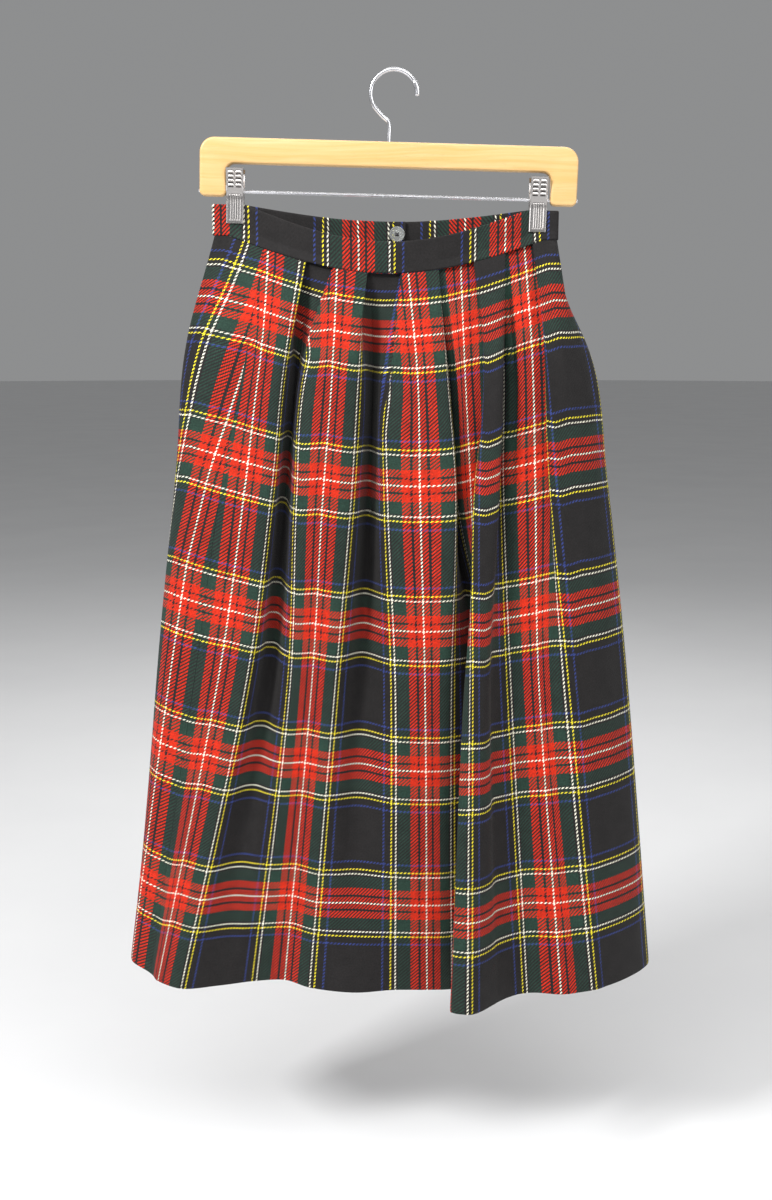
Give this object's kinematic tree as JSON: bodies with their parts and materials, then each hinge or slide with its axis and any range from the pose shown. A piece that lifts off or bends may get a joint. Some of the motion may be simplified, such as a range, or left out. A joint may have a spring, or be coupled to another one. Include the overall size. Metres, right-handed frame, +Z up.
{
  "type": "pleated tartan skirt on a wooden clip hanger",
  "caption": "A-line tartan skirt with inverted pleats under a straight waistband, hanging by the band from a pale wooden hanger with a rod and spring clips.",
  "frame": {"origin": "inside the crown of the hanger's hook, where a rail carries it", "axes": "+Z up, -Y the front of the skirt, +X to the right of someone who faces the front"},
  "size_m": [0.543, 0.1502, 0.8982],
  "materials": {
    "tartan": "woven wool twill, soft, dull",
    "button": "clear, polished",
    "wood": "pale, satin lacquer",
    "wire": "polished wire",
    "clip": "pressed sheet, bright plated"
  },
  "bodies": {
    "root": {"front_panel": "tartan", "back_left_panel": "tartan", "back_right_panel": "tartan", "waistband": "tartan", "waist_button": "button", "hanger_bar": "wood", "hanger_hook": "wire", "hanger_rod": "wire", "clip_left_front": "clip", "clip_left_rear": "clip", "clip_left_spring": "clip", "clip_right_front": "clip", "clip_right_rear": "clip", "clip_right_spring": "clip"}
  },
  "joints": []
}
